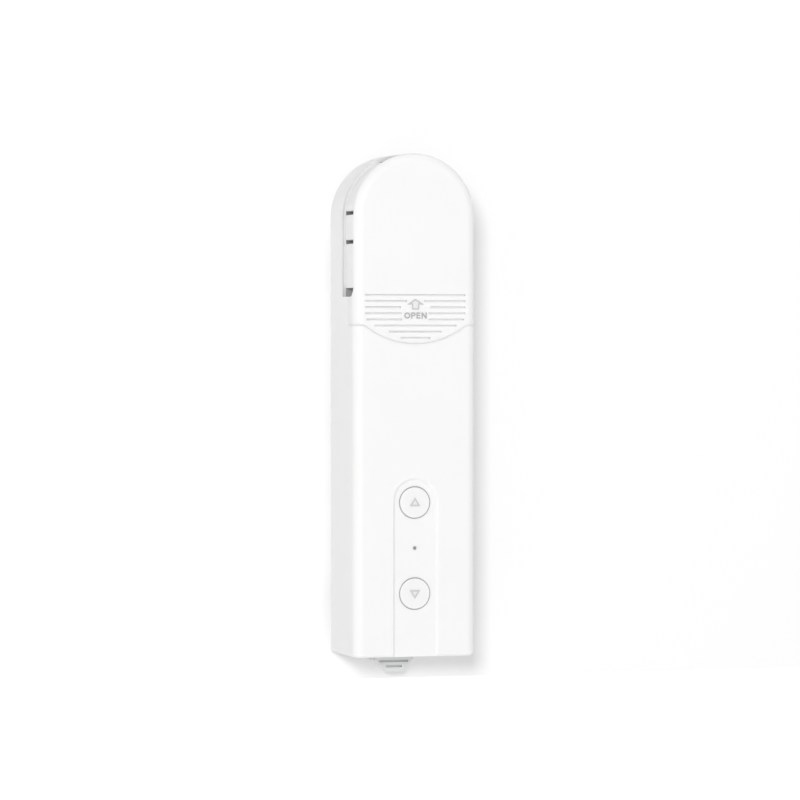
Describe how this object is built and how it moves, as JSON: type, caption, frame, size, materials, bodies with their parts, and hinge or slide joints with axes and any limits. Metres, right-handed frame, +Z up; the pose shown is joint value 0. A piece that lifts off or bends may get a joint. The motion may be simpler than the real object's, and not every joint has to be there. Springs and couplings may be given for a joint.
{
  "type": "roller shade motor",
  "caption": "Slim upright wall-mounted driver for a roller blind's bead chain, with a domed lift-up chain cover and a recessed button channel.",
  "frame": {"origin": "on the wall plane (the flat back of the wall bracket), midway between its two screw holes, level with the middle of the housing", "axes": "+X to the right as seen from the front, front face towards -Y, +Z up"},
  "size_m": [0.04, 0.0335, 0.1657],
  "materials": {
    "shell_white": "fine satin moulding",
    "button_white": "smooth satin",
    "bracket_white": "matt moulding",
    "wheel_grey": "self-lubricating moulding",
    "gear_cream": "cut nylon",
    "pin_steel": "ground",
    "brass": "turned",
    "motor_steel": "drawn can",
    "black_plastic": "matt moulding",
    "cell_wrap": "shrink sleeve",
    "board_green": "solder mask",
    "switch_black": "moulded",
    "plug_cream": "moulded",
    "shield_steel": "plated sheet",
    "light_clear": "clear"
  },
  "bodies": {
    "bracket": {"wall_bracket": "bracket_white", "latch_pin": "pin_steel"},
    "latch": {"release_latch": "bracket_white"},
    "unit": {"main_housing": "shell_white", "back_cover": "shell_white", "light_pipe": "light_clear", "status_led": "light_clear", "circuit_board": "board_green", "radio_module": "shield_steel", "motor_plug": "plug_cream", "battery_plug": "plug_cream", "usb_shell": "shield_steel", "usb_tongue": "switch_black", "cell_left": "cell_wrap", "cell_right": "cell_wrap", "cell_cradle": "black_plastic", "motor_can": "motor_steel", "motor_cap": "black_plastic", "gear_frame": "black_plastic", "first_axle": "pin_steel", "second_axle": "pin_steel", "chain_guide": "wheel_grey", "front_bush": "brass", "rear_bush": "brass", "up_switch": "switch_black", "down_switch": "switch_black"},
    "cover": {"chain_cover": "shell_white"},
    "up_key": {"up_button": "button_white"},
    "down_key": {"down_button": "button_white"},
    "drive": {"chain_wheel": "wheel_grey", "wheel_shaft": "pin_steel", "wheel_cap": "pin_steel", "output_gear": "gear_cream"},
    "second_stage": {"second_gear": "gear_cream"},
    "first_stage": {"first_gear": "gear_cream"},
    "rotor": {"motor_pinion": "brass"}
  },
  "joints": [
    {"name": "unit_lift", "type": "slide", "parent": "bracket", "child": "unit", "axis": [0, 0, 1], "range_m": [0, 0.1]},
    {"name": "latch_press", "type": "hinge", "parent": "bracket", "child": "latch", "pos_m": [0, -0.0055, -0.08125], "axis": [-1, 0, 0], "range_deg": [0, 8], "stiffness_Nm_per_rad": 0.05, "springref_deg": -2.86},
    {"name": "cover_lift", "type": "slide", "parent": "unit", "child": "cover", "axis": [0, 0, 1], "range_m": [0, 0.06]},
    {"name": "up_press", "type": "slide", "parent": "unit", "child": "up_key", "axis": [0, 1, 0], "range_m": [0, 0.0005], "stiffness_N_per_m": 900, "springref_m": -0.0004},
    {"name": "down_press", "type": "slide", "parent": "unit", "child": "down_key", "axis": [0, 1, 0], "range_m": [0, 0.0005], "stiffness_N_per_m": 900, "springref_m": -0.0004},
    {"name": "wheel_turn", "type": "hinge", "parent": "unit", "child": "drive", "pos_m": [0, -0.0254, 0.04845], "axis": [0, 1, 0], "continuous": true},
    {"name": "second_turn", "type": "hinge", "parent": "unit", "child": "second_stage", "pos_m": [0.00492, -0.0115, 0.03302], "axis": [0, 1, 0], "continuous": true},
    {"name": "first_turn", "type": "hinge", "parent": "unit", "child": "first_stage", "pos_m": [-0.0035, -0.0135, 0.02183], "axis": [0, 1, 0], "continuous": true},
    {"name": "motor_turn", "type": "hinge", "parent": "unit", "child": "rotor", "pos_m": [0, -0.0155, 0.00745], "axis": [0, 1, 0], "continuous": true}
  ],
  "couplings": [
    {"joint": "second_turn", "follows": "wheel_turn", "ratio": -2.6},
    {"joint": "first_turn", "follows": "wheel_turn", "ratio": 6.5},
    {"joint": "motor_turn", "follows": "wheel_turn", "ratio": -17.55}
  ]
}
